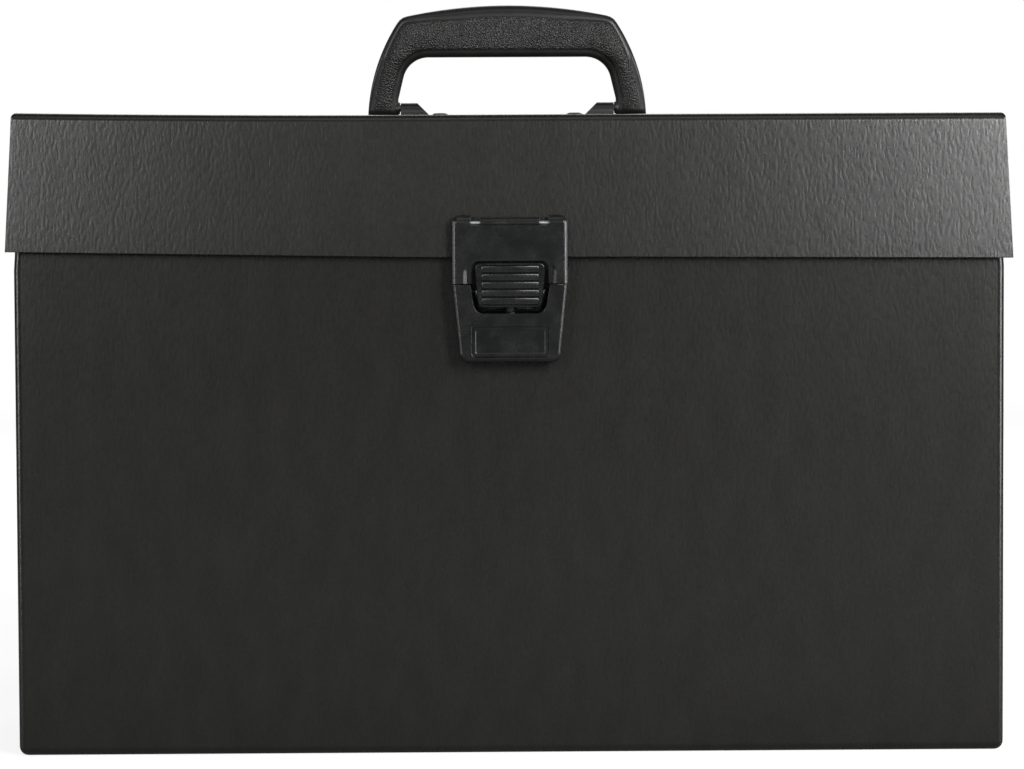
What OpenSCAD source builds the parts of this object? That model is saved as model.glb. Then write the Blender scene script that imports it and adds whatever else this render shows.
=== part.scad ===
// Portable file box: a folded-sheet body, a tray lid hinged at the back, a carry handle and a push latch.
// Millimetres. X runs to the right, Y to the back, Z up. The origin is the middle of the flat bottom.

/* [Body] */
// Width of the body, left to right
body_w = 408; // [340:1:500]
// Depth of the body, front to back
body_d = 140; // [115:1:220]
// Height of the closed box, from its bottom to the lid's top face
box_h = 264; // [220:1:330]
// Thickness of the folded sheet
sheet_t = 1.5; // [1.2:0.1:2]
// Outside radius of the body's bends
body_bend_r = 3.7; // [3:0.1:6]
// How far each side wall is drawn in at its top, so that the lid and the rail go over it
wall_draw_in = 2.7; // [1.5:0.1:3]
// Width of the glued tabs inside the four upright corners
tab_w = 26; // [15:1:40]

/* [Lid] */
// Drop of the front flap and of the side skirts below the lid's top face
lid_drop = 58.3; // [48:0.1:75]
// How far the front flap leans out at its bottom edge
flap_lean = 4; // [3:0.5:6]
// How far each side skirt leans out at its bottom edge
skirt_lean = 2.6; // [1.5:0.1:4]
// Clearance between the lid's inside and what it goes over
lid_fit = 0.4; // [0.3:0.1:0.8]
// Outside radius of the bend along the lid's front
flap_bend_r = 3.7; // [3:0.1:6]
// Outside radius of the bends along the lid's sides
skirt_bend_r = 2.2; // [2.1:0.1:4]

/* [Folder rails] */
// Wall of a folder rail
rail_t = 1.4; // [1.2:0.1:1.8]
// Thickness of the rail's leg outside the wall
rail_skin = 0.9; // [0.8:0.1:1.2]
// Depth of a rail's grip on the wall
rail_grip = 10; // [8:1:14]
// Width of the slot that a folder's hook drops into
hook_slot_w = 5; // [5:0.1:9]
// Depth of that slot
hook_slot_d = 8; // [6:0.5:12]
// Height of the folder hooks above the lip that carries them
hook_rise = 6; // [5:0.5:8]

/* [Hinge tape] */
// Width of each leaf of the hinge tape
tape_leaf = 20; // [14:1:30]
// Thickness of the hinge tape
tape_t = 0.4; // [0.3:0.1:0.6]
// Unglued width on each side of the fold line
tape_free = 1.5; // [1.2:0.1:3]

/* [Handle] */
// Width of the handle over its feet
handle_w = 118.4; // [105:0.1:150]
// Height of the handle's crown above the lid
handle_h = 46.6; // [40:0.1:60]
// Height of the underside of the grip above the lid
grip_under_h = 24.7; // [20:0.1:34]
// Thickness of the grip, front to back
grip_d = 16; // [12:0.5:18]
// Width of a leg at its foot
leg_w = 12.8; // [11:0.1:16]
// Height of the pivot pins above the lid
pivot_h = 3; // [2.8:0.1:4]
// Radius of the round foot of a leg
foot_r = 2.5; // [2.2:0.1:2.7]
// Diameter of the pivot pins
pivot_d = 2.8; // [2.2:0.1:3]
// Clearance between a leg and its ear
leg_gap = 1; // [0.6:0.1:1.5]
// Height of an ear above the lid
ear_h = 5.3; // [5:0.1:7]
// Spacing of the two eyelets
eyelet_spacing = 57.3; // [50:0.1:64]
// Diameter of an eyelet's head
eyelet_head_d = 7.45; // [6:0.05:9]
// Bore of an eyelet
eyelet_bore = 2.8; // [2:0.1:3.2]

/* [Latch] */
// Width of the latch
latch_w = 47.7; // [44:0.1:60]
// How far the latch stands out from the body's front
latch_out = 12; // [11.5:0.1:14]
// Height of the hasp
hasp_h = 28; // [26:0.5:34]
// How far the hasp hangs below the flap's bottom edge
hasp_hang = 10.9; // [9:0.1:13]
// Height of the catch housing
housing_h = 32; // [30:0.5:38]
// Width of the catch housing at its bottom
housing_foot_w = 41; // [39:0.5:50]
// Parting gap between the hasp and the catch housing
parting_gap = 0.4; // [0.3:0.1:0.8]
// Diameter of the hasp's hinge pin
hasp_pin_d = 2; // [1.6:0.1:2.2]
// Width of the button's pad at its top
button_w = 29; // [24:0.5:29]
// Height of the button's pad
button_h = 18.4; // [17:0.1:20]
// How far the button's face lies behind the hasp's face
button_recess = 1.6; // [1.5:0.1:2]
// How far the button slides down to let the hasp go
button_travel = 1.8; // [1.6:0.1:2.2]
// How far the button's lip stands up in front of the hasp's ledge
lip_overlap = 1.5; // [1:0.1:1.6]
// Diameter of the latch's rivets
rivet_d = 3; // [2.5:0.1:3.5]

/* [Hidden] */
$fn = 64;
over = 1;            // how far a cut runs past the face that it opens
running_gap = 0.05;  // between a pin and the bore that turns on it, on the radius
fixed_gap = 0.02;    // between a pin or rivet and the hole that holds it, on the radius
slide_gap = 0.3;     // between parts that slide or rest beside each other

// Heights: the walls end below the bend of the lid's front, with room for the rails above them
lid_under_z = box_h - sheet_t;
wall_top_z = box_h - max(flap_bend_r, sheet_t + slide_gap + rail_t);
flap_bottom_z = box_h - lid_drop;
draw_in_start_z = flap_bottom_z - 5;
draw_in_end_z = wall_top_z - rail_grip - 6;

// The side walls' top edge and the lid that goes over the rail there
wall_top_x = body_w / 2 - wall_draw_in;
lid_top_w = 2 * (wall_top_x + rail_skin + lid_fit + sheet_t);
lid_top_d = body_d + 2 * (lid_fit + sheet_t);
skirt_slope = skirt_lean / lid_drop;
flap_slope = flap_lean / lid_drop;
flap_angle = atan(flap_slope);

// Places on the front are given as how far they stand out from the body's front face
function front_y(out) = -body_d / 2 - out;
function flap_out(z) = lid_fit + sheet_t + flap_slope * (box_h - z);

// Points of an arc, and the radius of the large arc that meets a small corner arc without a kink
function arc(centre, r, from, to, steps) =
    [for (i = [0 : steps]) centre + r * [cos(from + (to - from) * i / steps), sin(from + (to - from) * i / steps)]];
function blend_r(along, across, corner_r) =
    (along * along + across * across - corner_r * corner_r) / (2 * (across - corner_r));

// Outline with its two corners at height 0 rounded and its sides leaning out by slope as they rise
module flared_outline(w, slope, h, r, inset = 0) {
    lean = atan(slope);
    centre_x = w / 2 + slope * r - r / cos(lean);
    inner_r = r - inset;
    side = [[centre_x, inset], [centre_x + inner_r * cos(lean), r - inner_r * sin(lean)],
            [w / 2 + slope * h - inset / cos(lean), h]];
    polygon(concat(side, [for (i = [2 : -1 : 0]) [-side[i][0], side[i][1]]]));
    for (s = [-1, 1]) translate([s * centre_x, r]) circle(inner_r);
}

module rounded_rect(w, h, r) {
    square([w - 2 * r, h], center = true);
    square([w, h - 2 * r], center = true);
    for (sx = [-1, 1], sy = [-1, 1]) translate([sx * (w / 2 - r), sy * (h / 2 - r)]) circle(r);
}

// Turns a flat outline to stand facing the front, between two distances out from the body's front
module stand_on_front(out_from, out_to) {
    translate([0, front_y(out_from), 0]) rotate([90, 0, 0]) linear_extrude(out_to - out_from) children();
}

// Turns a flat outline of Y and Z to run along X
module run_along_x(length) {
    rotate([90, 0, 90]) linear_extrude(length, center = true) children();
}

// Block centred on the front: its width, its two heights and how far it stands out
module front_block(w, z_from, z_to, out_from, out_to) {
    translate([-w / 2, front_y(out_to), z_from]) cube([w, out_to - out_from, z_to - z_from]);
}

// Frame on the flap's outer face at a height: Z up along the flap, Y inward through it
module on_flap(z) {
    translate([0, front_y(flap_out(z)), z]) rotate([-flap_angle, 0, 0]) children();
}

// A cylinder through the front, from one distance out to another
module front_pin(x, z, d, out_from, out_to) {
    translate([x, front_y(out_from), z]) rotate([90, 0, 0]) cylinder(d = d, h = out_to - out_from);
}

// ---- Body ----

// Outline of the body seen from the front, its side walls drawn in under the lid
module body_front_outline(inset) {
    half = body_w / 2 - inset;
    side = [[half, 0], [half, draw_in_start_z], [half - wall_draw_in, draw_in_end_z],
            [half - wall_draw_in, box_h]];
    intersection() {
        flared_outline(body_w, 0, box_h, body_bend_r, inset);
        polygon(concat(side, [for (i = [3 : -1 : 0]) [-side[i][0], side[i][1]]]));
    }
}

module body_form(inset) {
    intersection() {
        rotate([90, 0, 0]) linear_extrude(2 * body_d, center = true) body_front_outline(inset);
        run_along_x(2 * body_w) flared_outline(body_d, 0, box_h, body_bend_r, inset);
        linear_extrude(box_h)
            rounded_rect(body_w - 2 * inset, body_d - 2 * inset, body_bend_r - inset);
    }
}

rail_len = body_d - 2 * (body_bend_r + 1);
corner_relief_d = 4;
corner_relief_depth = 1;
corner_diagonal = sqrt(1.5) * body_bend_r;   // from the bends' centre to the tip of the corner

// The small notch where three bends meet
module corner_relief() {
    for (sx = [-1, 1], sy = [-1, 1])
        translate([sx * (body_w / 2 - body_bend_r), sy * (body_d / 2 - body_bend_r), body_bend_r])
            rotate([0, 0, atan2(sy, sx)]) rotate([0, 90 + atan(1 / sqrt(2)), 0])
                translate([0, 0, corner_diagonal - corner_relief_depth])
                    cylinder(d = corner_relief_d, h = 2 * corner_relief_depth);
}

module body_tabs() {
    for (sx = [-1, 1], sy = [-1, 1])
        translate([sx * (body_w / 2 - 1.5 * sheet_t), sy * (body_d / 2 - sheet_t - tab_w / 2),
                   (body_bend_r + draw_in_start_z) / 2])
            cube([sheet_t, tab_w, draw_in_start_z - body_bend_r], center = true);
}

module body_shell() {
    color("#262625") difference() {
        union() {
            difference() {
                body_form(0);
                body_form(sheet_t);
                translate([0, 0, box_h / 2 + wall_top_z])
                    cube([2 * body_w, 2 * body_d, box_h], center = true);
            }
            body_tabs();
        }
        corner_relief();
        for (p = catch_rivet_places)
            front_pin(p[0], p[1], rivet_d + 2 * fixed_gap, -sheet_t - over, over);
    }
}

// ---- Folder rails ----

lip_top_z = wall_top_z + rail_t - hook_rise;
lip_bottom_z = lip_top_z - hook_slot_d - rail_t;

// Section of the right rail: a clip over the wall, then a shelf and an upright lip for the hooks
module rail_outline() {
    rail_top_z = wall_top_z + rail_t;
    wall_in_x = wall_top_x - sheet_t;
    leg_x = wall_in_x - rail_t;
    lip_x = leg_x - hook_slot_w - rail_t;
    translate([wall_top_x, wall_top_z - rail_grip]) square([rail_skin, rail_grip]);
    translate([leg_x, wall_top_z]) square([rail_t + sheet_t + rail_skin, rail_t]);
    translate([leg_x, lip_bottom_z]) square([rail_t, rail_top_z - lip_bottom_z]);
    translate([lip_x, lip_bottom_z]) square([2 * rail_t + hook_slot_w, rail_t]);
    translate([lip_x, lip_bottom_z]) square([rail_t, lip_top_z - lip_bottom_z - rail_t / 2]);
    translate([lip_x + rail_t / 2, lip_top_z - rail_t / 2]) circle(d = rail_t);
}

module rail_right() {
    color("#1d1d1e") rotate([90, 0, 0]) linear_extrude(rail_len, center = true) rail_outline();
}

module rail_left() {
    mirror([1, 0, 0]) rail_right();
}

// ---- Hinge tape ----

tape_len = body_w - 2 * body_bend_r - 4;

module hinge_tape_back() {
    color("#1a1a1a") translate([-tape_len / 2, body_d / 2, box_h - tape_free - tape_leaf])
        cube([tape_len, tape_t, tape_leaf]);
}

module hinge_tape_lid() {
    color("#1a1a1a") translate([-tape_len / 2, body_d / 2 - tape_free - tape_leaf, box_h])
        cube([tape_len, tape_leaf, tape_t]);
}

// ---- Lid ----

module lid_form(inset, drop) {
    intersection() {
        rotate([90, 0, 0]) linear_extrude(2 * body_d, center = true)
            translate([0, box_h]) mirror([0, 1])
                flared_outline(lid_top_w, skirt_slope, drop, skirt_bend_r, inset);
        run_along_x(2 * body_w)
            translate([0, box_h]) mirror([0, 1])
                flared_outline(lid_top_d, flap_slope, drop, flap_bend_r, inset);
    }
}

lid_relief_w = 1.7;
lid_relief_h = 4;

// The slanting cut across each front corner of the lid, where its bends meet
module lid_corner_relief() {
    for (s = [-1, 1])
        translate([s * lid_top_w / 2, -lid_top_d / 2, box_h]) rotate([90, 0, 0])
            linear_extrude(2 * flap_bend_r, center = true)
                polygon([[-s * lid_relief_w, 0], [-s * lid_relief_w, over], [s * over, over],
                         [s * over, -lid_relief_h], [0, -lid_relief_h]]);
}

module lid_shell() {
    color("#2a2a29") difference() {
        lid_form(0, lid_drop);
        lid_form(sheet_t, lid_drop + over);
        translate([-body_w, body_d / 2, 0]) cube([2 * body_w, body_d, 2 * box_h]);
        lid_corner_relief();
        for (s = [-1, 1]) {
            translate([s * eyelet_spacing / 2, 0, lid_under_z - over])
                cylinder(d = eyelet_tube_d + 2 * fixed_gap, h = sheet_t + 2 * over);
            translate([s * (ear_out_x - ear_base_w / 2), 0, box_h])
                cube([ear_base_w + 2 * slide_gap, ear_d + 2 * slide_gap, 3 * sheet_t], center = true);
        }
        for (s = [-1, 1]) on_flap(hasp_pin_z)
            translate([s * hasp_rivet_x, -over, -hasp_rivet_drop]) rotate([-90, 0, 0])
                cylinder(d = rivet_d + 2 * fixed_gap, h = sheet_t + 2 * over);
    }
}

// ---- Handle ----

leg_in_x = handle_w / 2 - leg_w;
ear_out_x = leg_in_x - leg_gap;
ear_top_w = 7;
ear_base_w = 12.3;
ear_d = 8;
plate_t = 1.5;
plate_d = 24;
plate_margin = 6;
eyelet_tube_d = eyelet_bore + 1.2;
eyelet_head_t = 1;
washer_t = 0.6;
washer_d = eyelet_head_d + 1.5;
plate_under_z = lid_under_z - plate_t;
pivot_z = box_h + pivot_h;
pin_in_ear = 6;
pin_in_leg = 8;

// Moulded plate under the lid, whose two ears come up through slots in the lid
module handle_plate() {
    color("#1c1c1d") difference() {
        union() {
            translate([0, 0, plate_under_z]) linear_extrude(plate_t)
                rounded_rect(2 * (ear_out_x + plate_margin), plate_d, 4);
            intersection() {
                translate([0, 0, box_h]) rotate([90, 0, 0]) linear_extrude(ear_d, center = true)
                    for (s = [-1, 1]) polygon([
                        [s * ear_out_x, -sheet_t], [s * ear_out_x, ear_h],
                        [s * (ear_out_x - ear_top_w), ear_h], [s * (ear_out_x - ear_base_w), 0],
                        [s * (ear_out_x - ear_base_w), -sheet_t]]);
                run_along_x(2 * handle_w) translate([0, box_h]) {
                    translate([-ear_d / 2, -sheet_t]) square([ear_d, ear_h - ear_d / 2 + sheet_t]);
                    translate([0, ear_h - ear_d / 2]) circle(d = ear_d);
                }
            }
        }
        for (s = [-1, 1]) {
            translate([s * (ear_out_x + over), 0, pivot_z]) rotate([0, -s * 90, 0])
                cylinder(d = pivot_d + 2 * running_gap, h = over + pin_in_ear + slide_gap);
            translate([s * eyelet_spacing / 2, 0, plate_under_z - over])
                cylinder(d = eyelet_tube_d + 2 * fixed_gap, h = plate_t + 2 * over);
        }
    }
}

// One tubular rivet: a flat ring head on the lid, a tube, and a rolled end under the washer
module eyelet() {
    tail_z = plate_under_z - washer_t;
    rotate_extrude() polygon([
        [eyelet_bore / 2, box_h + eyelet_head_t], [eyelet_head_d / 2 - 0.4, box_h + eyelet_head_t],
        [eyelet_head_d / 2, box_h + eyelet_head_t - 0.4], [eyelet_head_d / 2, box_h],
        [eyelet_tube_d / 2, box_h], [eyelet_tube_d / 2, tail_z], [eyelet_tube_d / 2 + 1, tail_z],
        [eyelet_tube_d / 2 + 1, tail_z - 0.8], [eyelet_bore / 2, tail_z - 0.8]]);
}

module handle_eyelets() {
    color("#3a3a3a") for (s = [-1, 1]) translate([s * eyelet_spacing / 2, 0, 0]) eyelet();
}

module handle_washers() {
    color("silver") for (s = [-1, 1])
        translate([s * eyelet_spacing / 2, 0, plate_under_z - washer_t]) difference() {
            cylinder(d = washer_d, h = washer_t);
            translate([0, 0, -over]) cylinder(d = eyelet_tube_d + 2 * fixed_gap, h = washer_t + 2 * over);
        }
}

crown_corner_r = 6;
crown_corner_in = 17.9;    // from the leg's outermost point to the corner arc's centre
crown_corner_down = 10.4;  // from the crown down to the corner arc's centre
leg_bulge_z = -4;          // height at which the leg's side stands upright, measured from the lid
under_corner_r = 11;
under_slope = 0.24;
knee_h = 7;                // height above the lid from which a leg's inner side leans inward

// Half of the handle's outer outline, from the foot up the side and along the crown to the middle
function handle_side() =
    let (widest = handle_w / 2 + 0.2,
         corner = [widest - crown_corner_in, handle_h - crown_corner_down],
         side_r = blend_r(corner[1] - leg_bulge_z, crown_corner_in, crown_corner_r),
         side_c = [widest - side_r, leg_bulge_z],
         crown_r = blend_r(corner[0], crown_corner_down, crown_corner_r),
         crown_c = [0, handle_h - crown_r],
         to_side = atan2(corner[1] - side_c[1], corner[0] - side_c[0]),
         to_crown = atan2(corner[1] - crown_c[1], corner[0] - crown_c[0]))
    concat(arc(side_c, side_r, asin(-leg_bulge_z / side_r), to_side, 8),
           arc(corner, crown_corner_r, to_side + 8, to_crown - 8, 6),
           arc(crown_c, crown_r, to_crown, 90, 6));

module handle_outline() {
    side = handle_side();
    last = len(side) - 2;
    difference() {
        polygon(concat(side, [for (i = [last : -1 : 0]) [-side[i][0], side[i][1]]]));
        intersection() {
            translate([0, grip_under_h]) mirror([0, 1])
                flared_outline(2 * (leg_in_x - under_slope * (grip_under_h - knee_h)), under_slope,
                               grip_under_h + over, under_corner_r);
            square([2 * leg_in_x, 2 * handle_h], center = true);
        }
    }
}

// The handle seen from its end: a round foot at the pivot, a wedge up the leg and a thick grip
module handle_end_outline() {
    shoulder_r = 5;
    translate([0, pivot_h]) circle(foot_r);
    polygon([[foot_r, pivot_h], [grip_d / 2, grip_under_h], [grip_d / 2, handle_h - shoulder_r],
             [grip_d / 2 - shoulder_r, handle_h], [shoulder_r - grip_d / 2, handle_h],
             [-grip_d / 2, handle_h - shoulder_r], [-grip_d / 2, grip_under_h], [-foot_r, pivot_h]]);
    for (s = [-1, 1]) translate([s * (grip_d / 2 - shoulder_r), handle_h - shoulder_r])
        circle(shoulder_r);
}

module handle_grip() {
    color("#222222") difference() {
        translate([0, 0, box_h]) intersection() {
            rotate([90, 0, 0]) linear_extrude(2 * grip_d, center = true) handle_outline();
            run_along_x(2 * handle_w) handle_end_outline();
        }
        for (s = [-1, 1]) translate([s * (leg_in_x - over), 0, pivot_z]) rotate([0, s * 90, 0])
            cylinder(d = pivot_d + 2 * fixed_gap, h = over + pin_in_leg + slide_gap);
    }
}

module handle_pins() {
    color("silver") for (s = [-1, 1])
        translate([s * (ear_out_x - pin_in_ear), 0, pivot_z]) rotate([0, s * 90, 0])
            cylinder(d = pivot_d, h = pin_in_ear + leg_gap + pin_in_leg);
}

// ---- Hasp, hinged on the flap ----

parting_z = flap_bottom_z - hasp_hang;
hasp_bottom_z = parting_z + parting_gap / 2;
hasp_top_z = hasp_bottom_z + hasp_h;
hasp_back_out = flap_out(flap_bottom_z) + 0.5;
ear_round_r = 3.3;
hasp_pin_z = hasp_top_z - ear_round_r;
hasp_pin_out = latch_out - ear_round_r;
notch_side_w = 7.55;       // width of the hasp on each side of its notch
notch_w = latch_w - 2 * notch_side_w;
notch_d = 3.7;
hasp_corner_r = 3.5;
hasp_side_wall = 3.3;
hasp_skin = 3.2;
barrel_w = notch_w - 8.4;
barrel_r = 2.2;
hasp_pin_len = notch_w + 7.4;
bracket_w = notch_w - 1.6;
bracket_t = 1.2;
bracket_above_pin = 2.4;
bracket_below_pin = hasp_pin_z - flap_bottom_z - 1.3;
hasp_rivet_x = 10;
hasp_rivet_drop = bracket_below_pin - 4.2;
backing_t = 1;
rivet_head_d = 5.6;
rivet_head_t = 0.9;

// Plate riveted to the flap, with the barrel that the hasp hangs from
module hasp_bracket() {
    web = barrel_r - 0.1;
    color("#1b1b1c") difference() {
        union() {
            on_flap(hasp_pin_z) translate([-bracket_w / 2, -bracket_t, -bracket_below_pin])
                cube([bracket_w, bracket_t, bracket_below_pin + bracket_above_pin]);
            run_along_x(barrel_w) {
                translate([front_y(hasp_pin_out), hasp_pin_z]) circle(barrel_r);
                polygon([[front_y(flap_out(hasp_pin_z - web)), hasp_pin_z - web],
                         [front_y(hasp_pin_out), hasp_pin_z - web],
                         [front_y(hasp_pin_out), hasp_pin_z + web],
                         [front_y(flap_out(hasp_pin_z + web)), hasp_pin_z + web]]);
            }
        }
        translate([0, front_y(hasp_pin_out), hasp_pin_z]) rotate([0, 90, 0])
            cylinder(d = hasp_pin_d + 2 * fixed_gap, h = bracket_w, center = true);
        for (s = [-1, 1]) on_flap(hasp_pin_z)
            translate([s * hasp_rivet_x, -bracket_t - over, -hasp_rivet_drop]) rotate([-90, 0, 0])
                cylinder(d = rivet_d + 2 * fixed_gap, h = bracket_t + 2 * over);
    }
}

module hasp_backing_plate() {
    color("silver") on_flap(hasp_pin_z) difference() {
        translate([-bracket_w / 2, sheet_t, -bracket_below_pin])
            cube([bracket_w, backing_t, bracket_below_pin + bracket_above_pin]);
        for (s = [-1, 1]) translate([s * hasp_rivet_x, sheet_t - over, -hasp_rivet_drop])
            rotate([-90, 0, 0]) cylinder(d = rivet_d + 2 * fixed_gap, h = backing_t + 2 * over);
    }
}

module hasp_rivets() {
    color("silver") for (s = [-1, 1]) on_flap(hasp_pin_z)
        translate([s * hasp_rivet_x, -bracket_t, -hasp_rivet_drop]) rotate([-90, 0, 0]) {
            translate([0, 0, -rivet_head_t]) cylinder(d = rivet_head_d, h = rivet_head_t);
            cylinder(d = rivet_d, h = bracket_t + sheet_t + backing_t);
            translate([0, 0, bracket_t + sheet_t + backing_t])
                cylinder(d = rivet_head_d - 0.6, h = rivet_head_t);
        }
}

module hasp_pin() {
    color("silver") translate([0, front_y(hasp_pin_out), hasp_pin_z]) rotate([0, 90, 0])
        cylinder(d = hasp_pin_d, h = hasp_pin_len, center = true);
}

// The window round the button: an arch in the hasp over a tapering cup in the housing
button_foot_w = button_w - 2.8;
button_above = button_h - 9.7;
button_top_z = parting_z + button_above;
button_bottom_z = button_top_z - button_h;
button_side_gap = 1.3;
button_top_gap = 0.8;
window_w = button_w + 2 * button_side_gap;
arch_top_z = button_top_z + button_top_gap;
arch_corner_r = 3;
ledge_out = hasp_back_out + 1.6;
ledge_z = button_top_z - lip_overlap;

module window_arch(top_z) {
    bottom_z = parting_z - 20;
    translate([0, (top_z + bottom_z) / 2]) rounded_rect(window_w, top_z - bottom_z, arch_corner_r);
}

module hasp() {
    color("#202021") difference() {
        intersection() {
            stand_on_front(0, latch_out) {
                translate([-latch_w / 2, hasp_bottom_z]) square([latch_w, hasp_h - hasp_corner_r]);
                translate([hasp_corner_r - latch_w / 2, hasp_bottom_z])
                    square([latch_w - 2 * hasp_corner_r, hasp_h]);
                for (s = [-1, 1]) translate([s * (latch_w / 2 - hasp_corner_r), hasp_top_z - hasp_corner_r])
                    circle(hasp_corner_r);
            }
            run_along_x(2 * latch_w) {
                translate([front_y(latch_out), hasp_bottom_z])
                    square([latch_out - hasp_back_out, hasp_h - ear_round_r]);
                translate([front_y(hasp_pin_out), hasp_pin_z]) circle(ear_round_r);
            }
        }
        // the notch for the barrel, and the room round it
        front_block(notch_w, hasp_top_z - notch_d, hasp_top_z + over, 0, latch_out + over);
        translate([0, front_y(hasp_pin_out), hasp_pin_z]) rotate([0, 90, 0])
            cylinder(r = barrel_r + slide_gap, h = notch_w, center = true);
        // the hollow back over the bracket and its rivets
        front_block(notch_w, flap_bottom_z, hasp_top_z + over, 0, latch_out - hasp_skin);
        front_block(latch_w - 2 * hasp_side_wall, flap_bottom_z, hasp_pin_z - ear_round_r, 0,
                    latch_out - hasp_skin);
        // the arch round the button, with a ledge left behind the button's lip
        stand_on_front(ledge_out, latch_out + over) window_arch(arch_top_z);
        stand_on_front(0, ledge_out + over / 2) window_arch(ledge_z);
        translate([0, front_y(hasp_pin_out), hasp_pin_z]) rotate([0, 90, 0])
            cylinder(d = hasp_pin_d + 2 * running_gap, h = hasp_pin_len + 2 * slide_gap, center = true);
    }
}

// ---- Catch, riveted to the body ----

housing_top_z = parting_z - parting_gap / 2;
housing_bottom_z = housing_top_z - housing_h;
housing_slope = (latch_w - 0.4 - housing_foot_w) / 2 / housing_h;
housing_corner_r = 4;
housing_skin = 2.2;
base_t = 2;
base_fit = 0.15;
base_w = housing_foot_w - 4;
base_bottom_z = housing_bottom_z + 2.5;
base_top_z = housing_top_z - 0.5;
cup_bottom_z = button_bottom_z - button_travel - slide_gap;
cup_slope = 0.17;
cup_corner_r = 4;
bay_w = window_w + 3;
bay_floor_z = cup_bottom_z - 3.9;
carrier_w = bay_w - 2 * slide_gap;
carrier_bottom_z = cup_bottom_z + 0.4;
carrier_top_z = carrier_bottom_z + 8.7;
carrier_back_out = 3.4;
carrier_front_out = latch_out - housing_skin - slide_gap;
pad_back_out = ledge_out + slide_gap;
spring_d = 4;
spring_wire = 0.5;
spring_out = (carrier_back_out + carrier_front_out) / 2;
spring_top_z = carrier_bottom_z + 6.7;
face_w = housing_foot_w - 9.8;
face_h = 12.3;
face_t = 1.8;
face_recess = 0.5;
face_fit = 0.2;
face_z = housing_bottom_z + 2.4 + face_h / 2;
pocket_floor_out = base_t + 1.2;
lower_rivet_x = 9;
upper_rivet_x = 11;
upper_rivet_z = carrier_top_z - 4;
catch_rivet_places = [for (s = [-1, 1]) each [[s * lower_rivet_x, face_z], [s * upper_rivet_x, upper_rivet_z]]];

module catch_base() {
    color("#1b1b1c") difference() {
        front_block(base_w, base_bottom_z, base_top_z, 0, base_t);
        for (p = catch_rivet_places)
            front_pin(p[0], p[1], rivet_d + 2 * fixed_gap, -over, base_t + over);
    }
}

module catch_housing() {
    face_seat_out = latch_out - face_recess - face_t;
    color("#202021") difference() {
        stand_on_front(0, latch_out) translate([0, housing_bottom_z])
            flared_outline(housing_foot_w, housing_slope, housing_h, housing_corner_r);
        // room for the base behind, open at the top
        front_block(base_w + 2 * base_fit, base_bottom_z - base_fit, housing_top_z + over, -over, base_t);
        // the bay that the button slides in, with a stop left at each side of its top
        front_block(bay_w, bay_floor_z, carrier_top_z + slide_gap, base_t - over, latch_out - housing_skin);
        front_block(window_w, bay_floor_z + over, housing_top_z + over, base_t - over,
                    latch_out - housing_skin);
        stand_on_front(base_t, latch_out + over) translate([0, cup_bottom_z])
            flared_outline(window_w - 2 * cup_slope * (housing_top_z - cup_bottom_z), cup_slope,
                           housing_top_z - cup_bottom_z + over, cup_corner_r);
        // the pocket over the rivets, stepped to seat the face plate
        translate([0, 0, face_z]) {
            front_block(face_w - 3, 1.2 - face_h / 2, face_h / 2 - 1.2, pocket_floor_out, latch_out);
            front_block(face_w + 2 * face_fit, -face_h / 2 - face_fit, face_h / 2 + face_fit,
                        face_seat_out, latch_out + over);
        }
        for (s = [-1, 1]) front_pin(s * lower_rivet_x, face_z, rivet_d + 2 * fixed_gap, 0, latch_out);
    }
}

module catch_face_plate() {
    color("#232324") translate([0, 0, face_z])
        front_block(face_w, -face_h / 2, face_h / 2, latch_out - face_recess - face_t,
                    latch_out - face_recess);
}

// The button: a ribbed pad that fills the window, on a carrier trapped behind the housing's skin
module catch_button() {
    pad_slope = (button_w - button_foot_w) / 2 / button_h;
    face_out = latch_out - button_recess;
    rib_h = 1.2;
    rib_rise = 0.3;
    ribs = 5;
    rib_pitch = button_h / (ribs + 0.6);
    color("#242426") difference() {
        union() {
            stand_on_front(pad_back_out, face_out) intersection() {
                translate([0, button_bottom_z])
                    flared_outline(button_foot_w, pad_slope, button_h, 3);
                translate([0, button_top_z]) mirror([0, 1])
                    flared_outline(button_w, -pad_slope, button_h, 2.5);
            }
            for (i = [0 : ribs - 1])
                front_block(button_w - 5.5, button_bottom_z + (i + 0.8) * rib_pitch - rib_h / 2,
                            button_bottom_z + (i + 0.8) * rib_pitch + rib_h / 2,
                            face_out - rib_rise, face_out + rib_rise);
            front_block(carrier_w, carrier_bottom_z, carrier_top_z, carrier_back_out, carrier_front_out);
        }
        translate([0, front_y(spring_out), carrier_bottom_z - over])
            cylinder(d = spring_d + 0.4, h = spring_top_z - carrier_bottom_z + over);
    }
}

// Return spring, drawn as the sleeve that its coils fill
module catch_spring() {
    color("silver") translate([0, front_y(spring_out), bay_floor_z]) difference() {
        cylinder(d = spring_d, h = spring_top_z - bay_floor_z);
        translate([0, 0, -over])
            cylinder(d = spring_d - 2 * spring_wire, h = spring_top_z - bay_floor_z + 2 * over);
    }
}

module catch_backing_plate() {
    color("silver") difference() {
        front_block(base_w - 2, base_bottom_z + 1, base_top_z, -sheet_t - backing_t, -sheet_t);
        for (p = catch_rivet_places)
            front_pin(p[0], p[1], rivet_d + 2 * fixed_gap, -sheet_t - backing_t - over, -sheet_t + over);
    }
}

module catch_rivets() {
    tail_out = -sheet_t - backing_t;
    color("silver") for (p = catch_rivet_places) {
        seat_out = p[1] == face_z ? pocket_floor_out : base_t;
        front_pin(p[0], p[1], rivet_d, tail_out, seat_out);
        front_pin(p[0], p[1], rivet_head_d, seat_out, seat_out + rivet_head_t);
        front_pin(p[0], p[1], rivet_head_d - 0.6, tail_out - rivet_head_t, tail_out);
    }
}

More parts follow.
